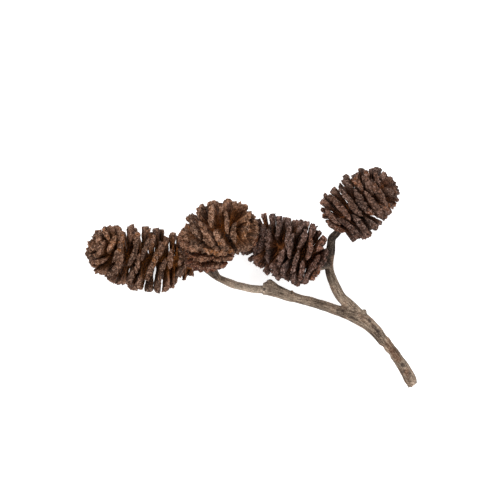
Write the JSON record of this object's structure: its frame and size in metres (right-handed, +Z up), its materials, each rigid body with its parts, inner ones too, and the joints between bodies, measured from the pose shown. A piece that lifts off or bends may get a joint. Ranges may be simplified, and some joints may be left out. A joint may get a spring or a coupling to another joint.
{
  "type": "alder cone sprig",
  "caption": "Forked woody twig carrying open, dry alder cones with spread, lobed scales; it lies flat on its cones.",
  "frame": {"origin": "under the middle of the sprig's box, on the surface it lies on", "axes": "+Z up from the surface; +X along the sprig's length, towards the twig's cut end; +Y towards the cone on the fork's upper branch"},
  "size_m": [0.0714, 0.0476, 0.0212],
  "materials": {
    "bark": "dry grey-brown bark, rough",
    "cone_scale": "dry dark brown woody scales, rough and crusted"
  },
  "bodies": {
    "root": {"twig": "bark", "cone_left": "cone_scale", "cone_curled": "cone_scale", "cone_middle": "cone_scale", "cone_right": "cone_scale"}
  },
  "joints": []
}
